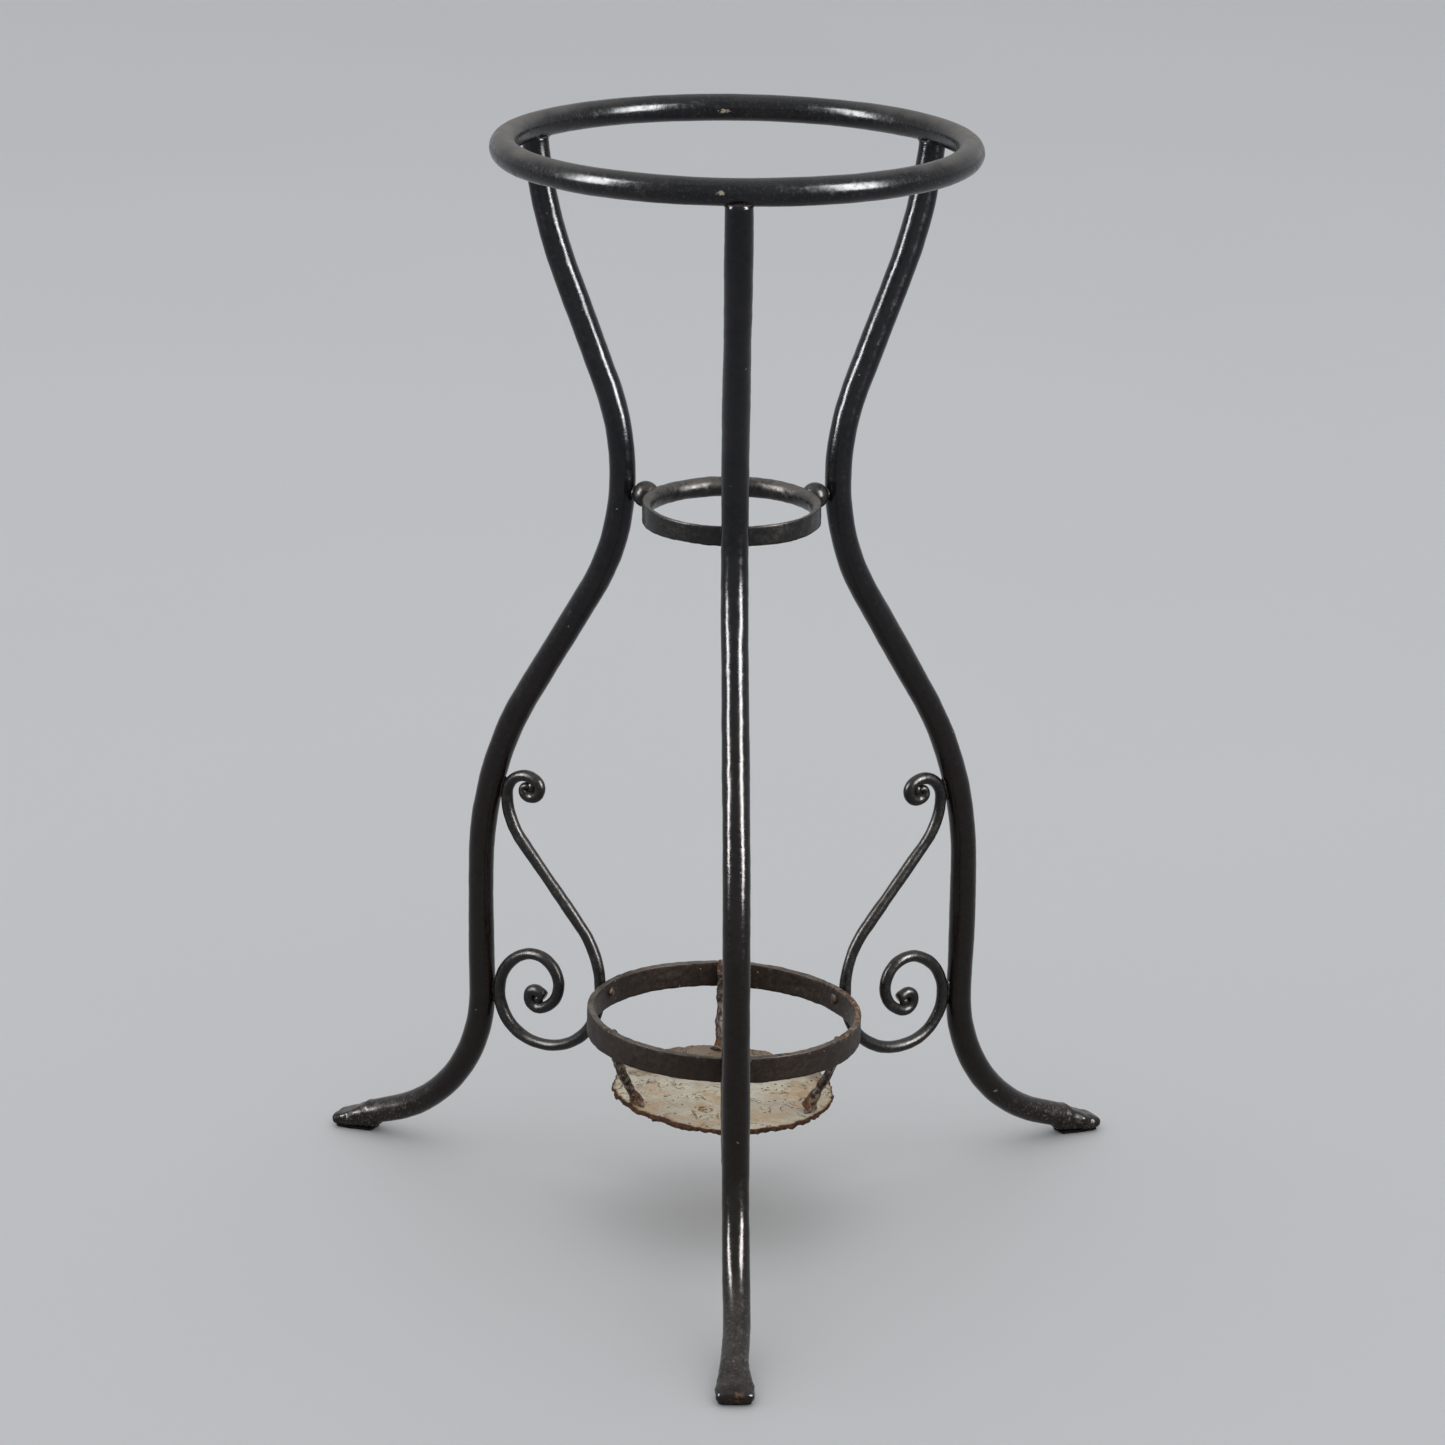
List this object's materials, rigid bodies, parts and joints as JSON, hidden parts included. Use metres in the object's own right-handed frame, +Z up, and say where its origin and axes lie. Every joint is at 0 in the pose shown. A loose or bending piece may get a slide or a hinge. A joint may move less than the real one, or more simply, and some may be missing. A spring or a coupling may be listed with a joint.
{
  "type": "umbrella stand",
  "caption": "Open wrought-iron umbrella stand on bent bar legs, with a round top ring, a small waist ring, a flat lower ring on scrolls and a hanging drip tray.",
  "frame": {"origin": "on the floor, at the middle of the footprint's bounding box", "axes": "+Z up, -Y towards the front leg, +X to the right seen from the front"},
  "size_m": [0.5552, 0.4826, 0.7484],
  "materials": {
    "black_enamel": "glossy black enamel over round bar, lightly chipped and dusty",
    "satin_black": "satin black paint with dust on upward faces",
    "rusty_black": "matt black paint, brown with rust at edges and welds",
    "cream_paint": "chipped cream paint over rusted sheet iron",
    "foot_rubber": "worn black rubber"
  },
  "bodies": {
    "root": {"top_ring": "black_enamel", "waist_ring": "satin_black", "lower_ring": "rusty_black", "tray": "cream_paint", "leg_front": "black_enamel", "foot_pad_front": "foot_rubber", "ball_front": "satin_black", "scroll_front": "satin_black", "scroll_rivet_front": "rusty_black", "leg_left": "black_enamel", "foot_pad_left": "foot_rubber", "ball_left": "satin_black", "scroll_left": "satin_black", "scroll_rivet_left": "rusty_black", "leg_right": "black_enamel", "foot_pad_right": "foot_rubber", "ball_right": "satin_black", "scroll_right": "satin_black", "scroll_rivet_right": "rusty_black", "strut_back": "rusty_black", "strut_front_left": "rusty_black", "strut_front_right": "rusty_black"}
  },
  "joints": []
}
